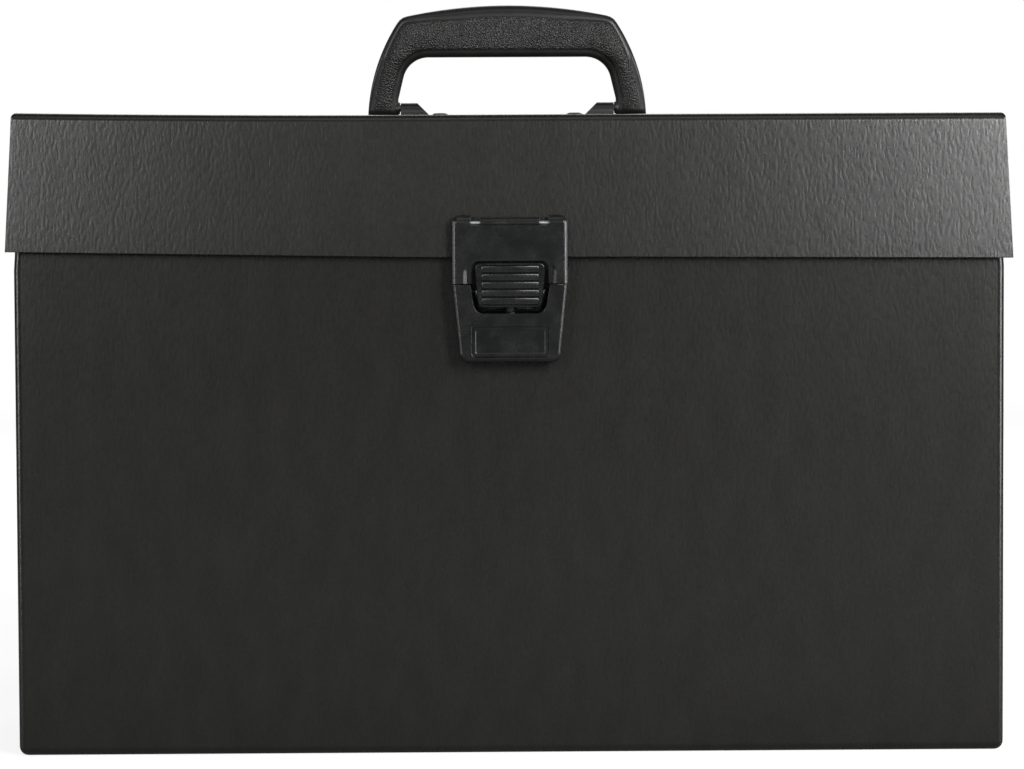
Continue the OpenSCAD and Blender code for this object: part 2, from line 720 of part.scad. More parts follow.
body_shell();
rail_left();
rail_right();
hinge_tape_back();
hinge_tape_lid();
lid_shell();
handle_plate();
handle_eyelets();
handle_washers();
handle_grip();
handle_pins();
hasp_bracket();
hasp_backing_plate();
hasp_rivets();
hasp_pin();
hasp();
catch_base();
catch_housing();
catch_face_plate();
catch_button();
catch_spring();
catch_backing_plate();
catch_rivets();
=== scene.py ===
"""Portable file box: the looks of the folded-sheet body, tray lid, carry handle and push latch."""
import math

import bmesh
import bpy
from mathutils import Matrix, Vector


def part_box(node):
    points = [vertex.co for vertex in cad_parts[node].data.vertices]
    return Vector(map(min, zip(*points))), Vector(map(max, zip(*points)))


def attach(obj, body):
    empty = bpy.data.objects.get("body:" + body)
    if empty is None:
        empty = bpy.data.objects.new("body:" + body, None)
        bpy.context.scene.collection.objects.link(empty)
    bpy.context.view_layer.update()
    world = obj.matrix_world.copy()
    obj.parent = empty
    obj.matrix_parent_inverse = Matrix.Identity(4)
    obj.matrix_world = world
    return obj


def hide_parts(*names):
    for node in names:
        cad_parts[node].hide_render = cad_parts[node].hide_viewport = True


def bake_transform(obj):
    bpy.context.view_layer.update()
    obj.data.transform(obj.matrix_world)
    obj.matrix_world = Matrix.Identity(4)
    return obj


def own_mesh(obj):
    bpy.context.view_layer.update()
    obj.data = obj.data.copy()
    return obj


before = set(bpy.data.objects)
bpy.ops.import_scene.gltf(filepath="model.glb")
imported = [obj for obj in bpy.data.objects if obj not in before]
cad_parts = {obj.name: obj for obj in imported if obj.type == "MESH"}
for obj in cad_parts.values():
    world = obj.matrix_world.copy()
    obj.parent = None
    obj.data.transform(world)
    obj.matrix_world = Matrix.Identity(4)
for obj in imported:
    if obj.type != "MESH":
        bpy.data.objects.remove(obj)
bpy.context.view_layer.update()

# ---- The camera ----
# It stands 1.7 m in front of the box, just under the level of the lid's top, and looks slightly down
# through a long lens. The front is seen nearly square on, and neither the lid's top nor the sides show.
camera_data = bpy.data.cameras.new("camera")
camera_data.lens = 146.18
camera_data.sensor_width = 36
camera_data.clip_end = 60
camera = bpy.data.objects.new("camera", camera_data)
bpy.context.scene.collection.objects.link(camera)
camera_place = (-0.0185, -1.7795, 0.2584)
turned_right, tilted_down, rolled = 0.644, 3.528, 0.276
camera.matrix_world = (
    Matrix.Translation(camera_place)
    @ Matrix.Rotation(math.radians(-turned_right), 4, "Z")
    @ Matrix.Rotation(math.radians(90 - tilted_down), 4, "X")
    @ Matrix.Rotation(math.radians(-rolled), 4, "Z")
)
bpy.context.scene.camera = camera
bpy.context.scene.view_settings.view_transform = "Standard"

# ---- The studio ----
# A pale floor that keeps the box's shadow, and soft lamps: two in front, a small one nearer at the
# right, a tall one at each side, one above and one behind. Only the camera sees the room and the
# floor as white; reflections get a small share of it, so that the satin sheet stays black.


def soft_lamp(name, place, towards, width, height, watts):
    lamp = bpy.data.lights.new(name, "AREA")
    lamp.shape = "RECTANGLE"
    lamp.size, lamp.size_y, lamp.energy = width, height, watts
    lamp_object = bpy.data.objects.new(name, lamp)
    bpy.context.scene.collection.objects.link(lamp_object)
    lamp_object.visible_camera = False
    lamp_object.location = place
    lamp_object.rotation_euler = (Vector(towards) - Vector(place)).to_track_quat("-Z", "Y").to_euler()


soft_lamp("lamp_left", (-0.55, -1.25, 0.60), (0, -0.07, 0.2), 0.3, 0.5, 6.5)
soft_lamp("lamp_right", (0.55, -1.25, 0.60), (0, -0.07, 0.2), 0.3, 0.5, 12)
soft_lamp("lamp_near_right", (0.45, -0.5, 0.52), (0.1, -0.07, 0.24), 0.2, 0.3, 1.6)
soft_lamp("lamp_side_left", (-1.4, -0.28, 0.35), (0, -0.07, 0.2), 0.25, 0.7, 4.5)
soft_lamp("lamp_side_right", (1.4, -0.28, 0.35), (0, -0.07, 0.2), 0.3, 0.7, 9)
soft_lamp("lamp_above", (0.1, -0.6, 1.65), (0, -0.05, 0.15), 1.0, 0.5, 1.8)
soft_lamp("lamp_behind", (0, 1.4, 0.9), (0, 0, 0.2), 1.6, 1.0, 10)


def white_share(tree, glossy_share):
    """How much white a ray gets: all from the camera or through glass, a share in a reflection."""
    rays = tree.nodes.new("ShaderNodeLightPath")
    seen = rays.outputs["Is Camera Ray"]
    for ray_kind, share in (("Is Glossy Ray", glossy_share), ("Is Transmission Ray", 1.0)):
        either = tree.nodes.new("ShaderNodeMath")
        either.operation = "MULTIPLY_ADD"
        tree.links.new(rays.outputs[ray_kind], either.inputs[0])
        either.inputs[1].default_value = share
        tree.links.new(seen, either.inputs[2])
        seen = either.outputs[0]
    return seen


world = bpy.context.scene.world or bpy.data.worlds.new("room")
bpy.context.scene.world = world
world.use_nodes = True
room = world.node_tree
room_light = room.nodes["Background"]
room_light.inputs["Color"].default_value = (1, 1, 1, 1)
room_light.inputs["Strength"].default_value = 0.04
room_white = room.nodes.new("ShaderNodeBackground")
room_white.inputs["Color"].default_value = (1, 1, 1, 1)
room_mix = room.nodes.new("ShaderNodeMixShader")
room.links.new(white_share(room, 0.04), room_mix.inputs[0])
room.links.new(room_light.outputs[0], room_mix.inputs[1])
room.links.new(room_white.outputs[0], room_mix.inputs[2])
room.links.new(room_mix.outputs[0], room.nodes["World Output"].inputs["Surface"])


def new_material(name):
    """A material, its Principled shader, and a function that adds a node and sets its inputs."""
    material = bpy.data.materials.new(name)
    material.use_nodes = True
    tree = material.node_tree

    def add(kind, links=None, **values):
        node = tree.nodes.new(kind)
        for key, value in values.items():
            if hasattr(node, key):
                setattr(node, key, value)
            else:
                node.inputs[key.replace("_", " ")].default_value = value
        for socket, source in (links or {}).items():
            tree.links.new(source, node.inputs[socket])
        return node

    return material, tree.nodes["Principled BSDF"], add


bpy.ops.object.select_all(action="DESELECT")
bpy.ops.mesh.primitive_plane_add(size=60, location=(0, 0, 0))
floor = bpy.context.object
floor.name = "floor"
floor_paint, shader, add = new_material("pale_floor")
shader.inputs["Base Color"].default_value = (0.3, 0.3, 0.3, 1)
shader.inputs["Roughness"].default_value = 0.9
shader.inputs["Specular IOR Level"].default_value = 0.1
# painted light: the floor's glow to the camera grows with distance, from 0.8 within 0.4 m of the middle to
# full white from 2.5 m on
place = add("ShaderNodeTexCoord")
away = add("ShaderNodeVectorMath", {0: place.outputs["Object"]}, operation="LENGTH")
brighter = add("ShaderNodeMapRange", {"Value": away.outputs["Value"]},
               From_Min=0.4, From_Max=2.5, To_Min=0.80, To_Max=1.0)
seen = white_share(floor_paint.node_tree, 0.03)
glow = add("ShaderNodeMath", {0: seen, 1: brighter.outputs[0]}, operation="MULTIPLY")
shader.inputs["Emission Color"].default_value = (1, 1, 1, 1)
floor_paint.node_tree.links.new(glow.outputs[0], shader.inputs["Emission Strength"])
floor.data.materials.append(floor_paint)

# ---- The body ----
# One blank of black embossed plastic sheet, 1.5 mm thick, die-cut and folded at the bottom and the
# upright corners. Tabs on the front and the back are glued inside the side walls, whose edges show
# as a fine seam beside each corner. The side walls are drawn in at the top to go under the lid.


def pick(piece, kind, test):
    """Selects only the vertices, edges or faces whose places pass the test."""
    bpy.ops.mesh.select_mode(type=kind)
    bpy.ops.mesh.select_all(action="DESELECT")
    cage = bmesh.from_edit_mesh(piece.data)
    items = {"VERT": cage.verts, "EDGE": cage.edges, "FACE": cage.faces}[kind]
    for item in items:
        corners = [item.co] if kind == "VERT" else [v.co for v in item.verts]
        if test(corners):
            item.select_set(True)
    cage.select_flush_mode()
    bmesh.update_edit_mesh(piece.data)


def select_only(piece):
    bpy.ops.object.select_all(action="DESELECT")
    piece.select_set(True)
    bpy.context.view_layer.objects.active = piece


def work_on(piece):
    """Makes a piece the only selected one and opens it in edit mode."""
    select_only(piece)
    bpy.ops.object.mode_set(mode="EDIT")


def done():
    bpy.ops.object.mode_set(mode="OBJECT")


def block(name, low, high):
    """A block between two corners, its place in its mesh."""
    bpy.ops.object.select_all(action="DESELECT")
    low, high = Vector(low), Vector(high)
    bpy.ops.mesh.primitive_cube_add(size=1, location=(low + high) / 2)
    piece = bpy.context.object
    piece.name = name
    piece.scale = high - low
    bpy.ops.object.transform_apply(location=True, rotation=True, scale=True)
    return piece


def slices(axis, places):
    """Cuts the whole open mesh along an axis at each place."""
    for place in places:
        bpy.ops.mesh.select_all(action="SELECT")
        point, normal = [0, 0, 0], [0, 0, 0]
        point[axis], normal[axis] = place, 1
        bpy.ops.mesh.bisect(plane_co=point, plane_no=normal)


def finish_with(piece, kind, **settings):
    """Adds a modifier with these settings and applies it."""
    select_only(piece)
    modifier = piece.modifiers.new(kind.lower(), kind)
    for key, value in settings.items():
        setattr(modifier, key, value)
    bpy.ops.object.modifier_apply(modifier=modifier.name)


def ease_edges(piece, width, degrees):
    """Rounds the edges that turn by more than some degrees."""
    finish_with(piece, "BEVEL", width=width, segments=2, limit_method="ANGLE",
                angle_limit=math.radians(degrees))


def even_shade(piece):
    """Turns the shading of a cut piece's eased edges, so that its flat faces stay evenly lit."""
    finish_with(piece, "WEIGHTED_NORMAL", keep_sharp=True)


def smooth(piece, degrees=35):
    """Smooths the shading over the edges that turn by less than some degrees."""
    select_only(piece)
    bpy.ops.object.shade_smooth_by_angle(angle=math.radians(degrees))


def join_pieces(piece, others):
    bpy.ops.object.select_all(action="DESELECT")
    for other in [piece, *others]:
        other.select_set(True)
    bpy.context.view_layer.objects.active = piece
    bpy.ops.object.join()


def cut_away(piece, cutter):
    """Takes the cutter's shape out of a piece."""
    finish_with(piece, "BOOLEAN", operation="DIFFERENCE", solver="EXACT", object=cutter)
    bpy.data.objects.remove(cutter)


near = 1e-5
sheet_t, sheet_ease = 0.0015, 0.0002
body_x, body_y, body_high = 0.204, 0.070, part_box("body_shell")[1].z
bend_r = 0.0037
draw_in_from, draw_in_to, draw_in = 0.2007, 0.2443, 0.0027
seam_y, seam_w, seam_deep = 0.0652, 0.0003, 0.0004
tab_deep, tab_corner = 0.026, 0.006
panel = 0.024

body = block("body_sheet", (-body_x, -body_y, 0), (body_x, body_y, body_high))
work_on(body)
pick(body, "FACE", lambda c: min(v.z for v in c) > body_high - near)
bpy.ops.mesh.delete(type="FACE")
pick(body, "EDGE", lambda c: max(v.z for v in c) < near or abs(c[0].z - c[1].z) > near)
bpy.ops.mesh.bevel(offset=bend_r, segments=5, affect="EDGES")
slices(2, [draw_in_from, draw_in_to])
slices(0, [panel * i for i in range(-8, 9)])
slices(2, [panel * i for i in range(1, 9)])
# the seam beside each upright corner
slices(1, [side * (seam_y + step) for side in (-1, 1) for step in (0, seam_w)])
for side in (-1, 1):
    pick(body, "FACE", lambda c: all(v.x * side > body_x - 10 * near and v.z > bend_r - near for v in c)
         and all(seam_y - near < abs(v.y) < seam_y + seam_w + near for v in c))
    bpy.ops.mesh.extrude_region()
    bpy.ops.transform.translate(value=(-side * seam_deep, 0, 0))
pick(body, "VERT", lambda c: c[0].z > draw_in_to - near)
bpy.ops.transform.resize(value=(1 - draw_in / body_x, 1, 1), center_override=(0, 0, 0))
done()
finish_with(body, "SOLIDIFY", thickness=sheet_t, offset=-1, use_even_offset=True)
ease_edges(body, sheet_ease, 60)
tabs = []
for side_x in (-1, 1):
    for side_y in (-1, 1):
        xs = sorted((side_x * (body_x - sheet_t), side_x * (body_x - 2 * sheet_t)))
        ys = sorted((side_y * (body_y - sheet_t), side_y * (body_y - sheet_t - tab_deep)))
        tab = block("tab", (xs[0], ys[0], bend_r), (xs[1], ys[1], draw_in_from))
        work_on(tab)
        pick(tab, "EDGE", lambda c: abs(c[0].x - c[1].x) > near and abs(c[0].y) < body_y - tab_deep)
        bpy.ops.mesh.bevel(offset=tab_corner, segments=4, affect="EDGES")
        done()
        ease_edges(tab, sheet_ease, 60)
        tabs.append(tab)
join_pieces(body, tabs)
smooth(body)
even_shade(body)


def lay_blank(piece, over):
    """Gives the sheet its blank's flat measure as a UV map, in metres, so that its grain follows the
    folds: up the front and over the top or the bottom, and from front to back on the sides."""
    square_on = 0.72
    measure = piece.data.uv_layers.new(name="blank")
    for face in piece.data.polygons:
        for corner in face.loop_indices:
            spot = piece.data.vertices[piece.data.loops[corner].vertex_index].co
            if abs(face.normal.x) > square_on:
                measure.data[corner].uv = (spot.z, spot.y)
            elif over * face.normal.y > square_on:
                measure.data[corner].uv = (spot.x, -spot.z - spot.y)
            else:
                measure.data[corner].uv = (spot.x, spot.z + over * spot.y)


def colour_by(material, pattern, start, end, dark, light):
    """Colours a material by a pattern: dark up to its start, and light from its end on."""
    tree = material.node_tree
    ramp = tree.nodes.new("ShaderNodeValToRGB")
    ramp.color_ramp.elements[0].position, ramp.color_ramp.elements[1].position = start, end
    ramp.color_ramp.elements[0].color, ramp.color_ramp.elements[1].color = (*dark, 1), (*light, 1)
    tree.links.new(pattern, ramp.inputs["Fac"])
    tree.links.new(ramp.outputs[0], tree.nodes["Principled BSDF"].inputs["Base Color"])


def roughen_by(material, pattern, low, high, start=0, end=1):
    """Spreads a material's roughness from low to high by a pattern."""
    tree = material.node_tree
    spread = tree.nodes.new("ShaderNodeMapRange")
    for socket, value in (("From Min", start), ("From Max", end), ("To Min", low), ("To Max", high)):
        spread.inputs[socket].default_value = value
    tree.links.new(pattern, spread.inputs["Value"])
    tree.links.new(spread.outputs[0], tree.nodes["Principled BSDF"].inputs["Roughness"])


def raise_by(material, pattern, strength, distance):
    """Raises a material's surface by a pattern."""
    tree = material.node_tree
    bump = tree.nodes.new("ShaderNodeBump")
    bump.inputs["Strength"].default_value = strength
    bump.inputs["Distance"].default_value = distance
    tree.links.new(pattern, bump.inputs["Height"])
    tree.links.new(bump.outputs[0], tree.nodes["Principled BSDF"].inputs["Normal"])


lay_blank(body, -1)
sheet_paint, shader, add = new_material("embossed_black_sheet")
blank = add("ShaderNodeUVMap", uv_map="blank")
dimple_place = add("ShaderNodeMapping", {"Vector": blank.outputs[0]}, Scale=(820, 270, 1))
dimples = add("ShaderNodeTexNoise", {"Vector": dimple_place.outputs[0]},
              Scale=1.0, Detail=2.0, Roughness=0.5)
mottle_place = add("ShaderNodeMapping", {"Vector": blank.outputs[0]}, Scale=(100, 40, 1))
mottle = add("ShaderNodeTexNoise", {"Vector": mottle_place.outputs[0]}, Scale=1.0, Detail=3.0)
relief = add("ShaderNodeMix", {2: dimples.outputs["Fac"], 3: mottle.outputs["Fac"]}, data_type="FLOAT")
relief.inputs[0].default_value = 0.45
raise_by(sheet_paint, relief.outputs[0], 0.26, 0.0005)
colour_by(sheet_paint, mottle.outputs["Fac"], 0.3, 0.7, (0.0066, 0.0063, 0.0055), (0.0098, 0.0095, 0.0085))
roughen_by(sheet_paint, dimples.outputs["Fac"], 0.24, 0.31)
body.data.materials.append(sheet_paint)
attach(body, "box")
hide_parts("body_shell")

# ---- The tray lid ----
# A second blank of the same sheet: a top, a front flap and two side skirts, folded down and leaning
# outward, with a small open corner where the folds meet. The flap covers the skirts' front ends.
# The blank has taken a slight set, so its left front corner stands a little high.
lid_top, lid_drop = 0.264, 0.0583
flap_low = lid_top - lid_drop
lid_half_x, lid_front_y = 0.2041, 0.0719
flap_out, skirt_out = 0.0040, 0.0026
flap_slope, skirt_slope = flap_out / lid_drop, skirt_out / lid_drop
flap_lean, skirt_lean = math.atan(flap_slope), math.atan(skirt_slope)
flap_r, skirt_r = 0.0037, 0.0022
flap_fold_y = lid_front_y + flap_slope * flap_r - flap_r / math.cos(flap_lean)
skirt_fold_x = lid_half_x + skirt_slope * skirt_r - skirt_r / math.cos(skirt_lean)
corner_gap, corner_spread, corner_cut, corner_cut_high = 0.0003, 0.5, 0.03, 0.0018
set_from, corner_lift, flap_lift, flap_dip = 0.03, 0.0016, 0.0030, 0.0013
lid_panel, flap_panel = 0.02, 0.011
ear_x, slot_half_x, slot_half_y = 0.03925, 0.00645, 0.0043
eyelet_x, eyelet_hole_r = 0.02865, 0.00203

bpy.ops.object.select_all(action="DESELECT")
bpy.ops.mesh.primitive_plane_add(size=1, location=(0, (body_y - flap_fold_y) / 2, lid_top))
lid = bpy.context.object
lid.name = "lid_sheet"
lid.scale = (2 * skirt_fold_x, body_y + flap_fold_y, 1)
bpy.ops.object.transform_apply(location=True, rotation=True, scale=True)


def fold(piece, edge, centre, axis, turn, run):
    """Folds a sheet's edge round a bend, then runs it on in a straight panel."""
    pick(piece, "EDGE", edge)
    bpy.ops.mesh.spin(steps=6, angle=-turn, axis=axis, center=centre)
    bpy.ops.mesh.extrude_region()
    bpy.ops.transform.translate(value=run)


def share_of(value, start, end):
    """How far a value lies from a start to an end, held between 0 and 1."""
    return min(max((value - start) / (end - start), 0), 1)


def face_out():
    """Turns every face of the open mesh outwards."""
    bpy.ops.mesh.select_all(action="SELECT")
    bpy.ops.mesh.normals_make_consistent(inside=False)


def rod(name, radius, length, middle, along, sides=32):
    """A round rod along an axis, its place in its mesh."""
    turn = {"X": (0, math.pi / 2, 0), "Y": (math.pi / 2, 0, 0), "Z": (0, 0, 0)}[along]
    bpy.ops.object.select_all(action="DESELECT")
    bpy.ops.mesh.primitive_cylinder_add(vertices=sides, radius=radius, depth=length, location=middle,
                                        rotation=turn)
    piece = bpy.context.object
    piece.name = name
    bpy.ops.object.transform_apply(location=True, rotation=True, scale=True)
    return piece


work_on(lid)
end_y = flap_fold_y + flap_r * math.cos(flap_lean)
end_z = lid_top - flap_r + flap_r * math.sin(flap_lean)
fold(lid, lambda c: all(v.y < -flap_fold_y + near for v in c), (0, -flap_fold_y, lid_top - flap_r),
     (1, 0, 0), math.pi / 2 - flap_lean, (0, end_y - lid_front_y - flap_out, flap_low - end_z))
end_x = skirt_fold_x + skirt_r * math.cos(skirt_lean)
end_z = lid_top - skirt_r + skirt_r * math.sin(skirt_lean)
for side in (-1, 1):
    fold(lid, lambda c: all(v.x * side > skirt_fold_x - near and v.z > lid_top - near for v in c),
         (side * skirt_fold_x, 0, lid_top - skirt_r), (0, side, 0), math.pi / 2 - skirt_lean,
         (side * (lid_half_x + skirt_out - end_x), 0, flap_low - end_z))
bpy.ops.mesh.select_all(action="SELECT")
bpy.ops.mesh.remove_doubles(threshold=near)
# the flap widens to cover the skirts' ends, and the skirts stop behind it, cut back at their tops
cage = bmesh.from_edit_mesh(lid.data)
for v in cage.verts:
    down = lid_top - v.co.z
    side = math.copysign(1, v.co.x)
    if v.co.y < -flap_fold_y - near:
        v.co.x = side * min(skirt_fold_x + corner_gap + corner_spread * down,
                            lid_half_x + skirt_slope * down)
    elif abs(v.co.x) > skirt_fold_x + near and v.co.y < 0:
        cut = 1 - corner_cut * max(0, 1 - down / corner_cut_high)
        v.co.y = -(lid_front_y - sheet_t - corner_gap + flap_slope * down) * cut
bmesh.update_edit_mesh(lid.data)
slices(0, [lid_panel * i for i in range(-10, 11)])
slices(2, [flap_low + flap_panel * i for i in range(1, 5)])
slices(1, [lid_panel * (i - 2.5) for i in range(6)])
# the slight set of the blank: nothing at the hinge, most at the left front corner
cage = bmesh.from_edit_mesh(lid.data)
for v in cage.verts:
    forward = share_of(v.co.y, body_y, -body_y)
    down = (lid_top - v.co.z) / lid_drop
    left, right = share_of(-v.co.x, set_from, body_x), share_of(v.co.x, set_from, body_x)
    v.co.z += forward * (corner_lift * left ** 2 * (1 - down) + (flap_lift * left - flap_dip * right) * down)
bmesh.update_edit_mesh(lid.data)
face_out()
done()
finish_with(lid, "SOLIDIFY", thickness=sheet_t, offset=-1, use_even_offset=True)
# slots for the handle plate's ears, and holes for the eyelets
lid_cuts = []
for side in (-1, 1):
    lid_cuts.append(block("slot", (side * ear_x - slot_half_x, -slot_half_y, lid_top - 0.006),
                          (side * ear_x + slot_half_x, slot_half_y, lid_top + 0.004)))
    lid_cuts.append(rod("eyelet_hole", eyelet_hole_r, 0.02, (side * eyelet_x, 0, lid_top - 0.001), "Z"))
join_pieces(lid_cuts[0], lid_cuts[1:])
cut_away(lid, lid_cuts[0])
ease_edges(lid, sheet_ease, 60)
smooth(lid)
even_shade(lid)
lay_blank(lid, 1)
lid.data.materials.append(sheet_paint)
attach(lid, "lid")
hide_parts("lid_shell")

# ---- The folder rails ----
# Two extruded black plastic channels, pushed over the side walls' top edges. The inner lip of each
# carries the hooks of the hanging folders.


def soften(node, name, width):
    """A copy of a CAD node with its corners eased, as a moulded or pressed piece has them."""
    piece = bpy.data.objects.new(name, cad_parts[node].data.copy())
    bpy.context.scene.collection.objects.link(piece)
    piece.data.materials.clear()
    work_on(piece)
    bpy.ops.mesh.select_mode(type="VERT")
    bpy.ops.mesh.select_all(action="SELECT")
    bpy.ops.mesh.remove_doubles(threshold=2e-6)
    bpy.ops.mesh.dissolve_limited(angle_limit=math.radians(1))
    done()
    ease_edges(piece, width, 40)
    smooth(piece)
    even_shade(piece)
    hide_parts(node)
    return piece


rail_paint, shader, add = new_material("extruded_rail_plastic")
place = add("ShaderNodeTexCoord")
draw_lines = add("ShaderNodeMapping", {"Vector": place.outputs["Object"]}, Scale=(2600, 30, 2600))
streaks = add("ShaderNodeTexNoise", {"Vector": draw_lines.outputs[0]}, Scale=1.0, Detail=2.0)
dust = add("ShaderNodeTexNoise", {"Vector": place.outputs["Object"]}, Scale=90.0, Detail=4.0)
raise_by(rail_paint, streaks.outputs["Fac"], 0.35, 0.00006)
colour_by(rail_paint, dust.outputs["Fac"], 0.35, 0.75, (0.016, 0.016, 0.017), (0.028, 0.028, 0.028))
roughen_by(rail_paint, dust.outputs["Fac"], 0.30, 0.48)
for node in ("rail_left", "rail_right"):
    rail = soften(node, node + "_channel", 0.00035)
    rail.data.materials.append(rail_paint)
    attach(rail, "box")

# ---- The hinge tape ----
# One strip of black woven tape, glued to the back wall and over the lid's rear edge. The unglued
# stretch on the fold line is the hinge itself.
tape_path = [(0.0702, 0.2425), (0.0702, 0.2475), (0.0702, 0.2525), (0.0702, 0.2575), (0.0702, 0.2625),
             (0.0702, 0.2632), (0.07018, 0.2638), (0.0701, 0.26405), (0.06998, 0.26414), (0.0698, 0.2642),
             (0.0691, 0.2642), (0.0685, 0.2642), (0.0635, 0.2642), (0.0585, 0.2642), (0.0535, 0.2642),
             (0.0485, 0.2642)]
tape_half, tape_t = 0.1983, 0.0004
tape_rows = len(tape_path) - 1
along = [0.0]
for one, two in zip(tape_path, tape_path[1:]):
    along.append(along[-1] + math.dist(one, two))
bpy.ops.object.select_all(action="DESELECT")
bpy.ops.mesh.primitive_grid_add(x_subdivisions=24, y_subdivisions=tape_rows, size=1)
tape = bpy.context.object
tape.name = "hinge_tape_strip"
weave_map = tape.data.uv_layers[0]
weave_map.name = "weave"
for corner in tape.data.loops:
    spot = tape.data.vertices[corner.vertex_index].co
    weave_map.data[corner.index].uv = (2 * tape_half * spot.x, along[round((spot.y + 0.5) * tape_rows)])
for v in tape.data.vertices:
    y, z = tape_path[round((v.co.y + 0.5) * tape_rows)]
    v.co = (-2 * tape_half * v.co.x, y, z)
work_on(tape)
face_out()
cage = bmesh.from_edit_mesh(tape.data)
if sum(f.normal.z for f in cage.faces) < 0:
    bpy.ops.mesh.flip_normals()
done()
finish_with(tape, "SOLIDIFY", thickness=tape_t, offset=0, use_even_offset=True)
smooth(tape, 60)
tape_paint, shader, add = new_material("black_woven_tape")
threads = add("ShaderNodeUVMap", uv_map="weave")
ways = []
for direction in ("X", "Y"):
    thread = add("ShaderNodeTexWave", {"Vector": threads.outputs[0]}, bands_direction=direction, Scale=330.0)
    ways.append(thread.outputs["Fac"])
crossing = add("ShaderNodeMath", {0: ways[0], 1: ways[1]}, operation="MULTIPLY")
fuzz = add("ShaderNodeTexNoise", {"Vector": threads.outputs[0]}, Scale=160.0, Detail=4.0)
thread_tone = add("ShaderNodeMix", {2: crossing.outputs[0], 3: fuzz.outputs["Fac"]}, data_type="FLOAT")
raise_by(tape_paint, crossing.outputs[0], 0.6, 0.00015)
colour_by(tape_paint, thread_tone.outputs[0], 0.15, 0.8, (0.008, 0.008, 0.008), (0.030, 0.030, 0.029))
shader.inputs["Roughness"].default_value = 0.85
shader.inputs["Sheen Weight"].default_value = 0.15
tape.data.materials.append(tape_paint)
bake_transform(tape)
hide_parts("hinge_tape_back", "hinge_tape_lid")

# ---- The carry handle ----
# Black plastic, moulded in one: pebbled on its crowned front and back, with a smooth rounded rim.
# Its feet are round, so that they clear the lid as the handle swings on its two pins.
pivot_up = 0.003
pivot_z = lid_top + pivot_up
grip_high, grip_under, grip_half_d = 0.0466, 0.0247, 0.008
foot_r = 0.0028
leg_in, leg_out, under_slope, knee = 0.0464, 0.0594, 0.24, 0.007
slim_from, slim_to = 0.022, 0.042
pebbled_from, pebbled_full = 0.001, 0.005
corner_rows, crown_rows = 22, 8


def blend_r(along_it, across_it, corner_r):
    """Radius of the long arc that meets a small corner arc without a kink."""
    return (along_it ** 2 + across_it ** 2 - corner_r ** 2) / (2 * (across_it - corner_r))


def arc(centre, radius, start, end, steps):
    turns = [start + (end - start) * i / steps for i in range(steps + 1)]
    return [(centre[0] + radius * math.cos(t), centre[1] + radius * math.sin(t)) for t in turns]


def point_on(path, part):
    """The point at a part of a path's length, from 0 to 1."""
    lengths = [math.dist(a, b) for a, b in zip(path, path[1:])]
    left = part * sum(lengths)
    for (a, b), length in zip(zip(path, path[1:]), lengths):
        if left <= length + 1e-12:
            share = left / length
            return (a[0] + (b[0] - a[0]) * share, a[1] + (b[1] - a[1]) * share)
        left -= length
    return path[-1]


crown_corner, crown_corner_r, bulge_z = (leg_out - 0.0179, grip_high - 0.0104), 0.006, -0.004
side_r = blend_r(crown_corner[1] - bulge_z, leg_out - crown_corner[0], crown_corner_r)
side_c = (leg_out - side_r, bulge_z)
crown_r = blend_r(crown_corner[0], grip_high - crown_corner[1], crown_corner_r)
crown_c = (0, grip_high - crown_r)
to_side = math.atan2(crown_corner[1] - side_c[1], crown_corner[0] - side_c[0])
to_crown = math.atan2(crown_corner[1] - crown_c[1], crown_corner[0] - crown_c[0])
under_r = 0.011
under_half = leg_in - under_slope * (grip_under - knee)
lean = math.atan(under_slope)
under_c = (under_half + under_slope * under_r - under_r / math.cos(lean), grip_under - under_r)
turn_z = under_c[1] + under_r * math.sin(lean)
across_crown = 0.031

# the pairs of inner and outer points, from the foot up the leg, round the corner and along the crown
leg_rows = [0.0002, 0.00023, 0.00035, 0.0006, 0.0011, 0.0017, 0.0024, 0.003, 0.0042, 0.0056, 0.007,
            0.0093, 0.0116, 0.0139, turn_z]
pairs = []
for z in leg_rows:
    inner = leg_in if z <= knee else leg_in - under_slope * (z - knee)
    pairs.append(((inner, z), (side_c[0] + math.sqrt(side_r ** 2 - (z - side_c[1]) ** 2), z)))
outer_turn = arc(side_c, side_r, math.asin((turn_z - side_c[1]) / side_r), to_side, 12)
outer_turn += arc(crown_corner, crown_corner_r, to_side, to_crown, 10)[1:]
outer_turn += arc(crown_c, crown_r, to_crown, math.acos(across_crown / crown_r), 6)[1:]
inner_turn = arc(under_c, under_r, lean, math.pi / 2, 24)
for i in range(1, corner_rows + 1):
    pairs.append((point_on(inner_turn, i / corner_rows), point_on(outer_turn, i / corner_rows)))
for i in range(1, crown_rows + 1):
    left = 1 - i / crown_rows
    x = across_crown * left
    pairs.append(((under_c[0] * left, grip_under), (x, crown_c[1] + math.sqrt(crown_r ** 2 - x ** 2))))
pairs += [((-a[0], a[1]), (-b[0], b[1])) for a, b in reversed(pairs[:-1])]


def section(width, crown_part):
    """The closed section of the grip: (place across, depth, how pebbled), from the inner edge round."""
    inner_r, outer_r, crowning = 0.0026, 0.0024 + 0.0022 * crown_part, 0.0019 - 0.0011 * crown_part
    flat = grip_half_d - crowning
    half = [(0, 0, 0), (0, -0.001125, 0)]
    half += [(inner_r + x, -(flat - inner_r) + y, 0)
             for x, y in arc((0, 0), inner_r, math.pi, math.pi * 3 / 2, 6)]
    for i in range(1, 12):
        s = inner_r + (width - inner_r - outer_r) * i / 12
        off = 2 * i / 12 - 1
        half.append((s, -(flat + crowning * (1 - off ** 2)), 1))
    half += [(width - outer_r + x, -(flat - outer_r) + y, 0)
             for x, y in arc((0, 0), outer_r, -math.pi / 2, 0, 7)]
    half += [(width, -0.0012, 0)]
    return half + [(s, -y, p) for s, y, p in reversed(half)]


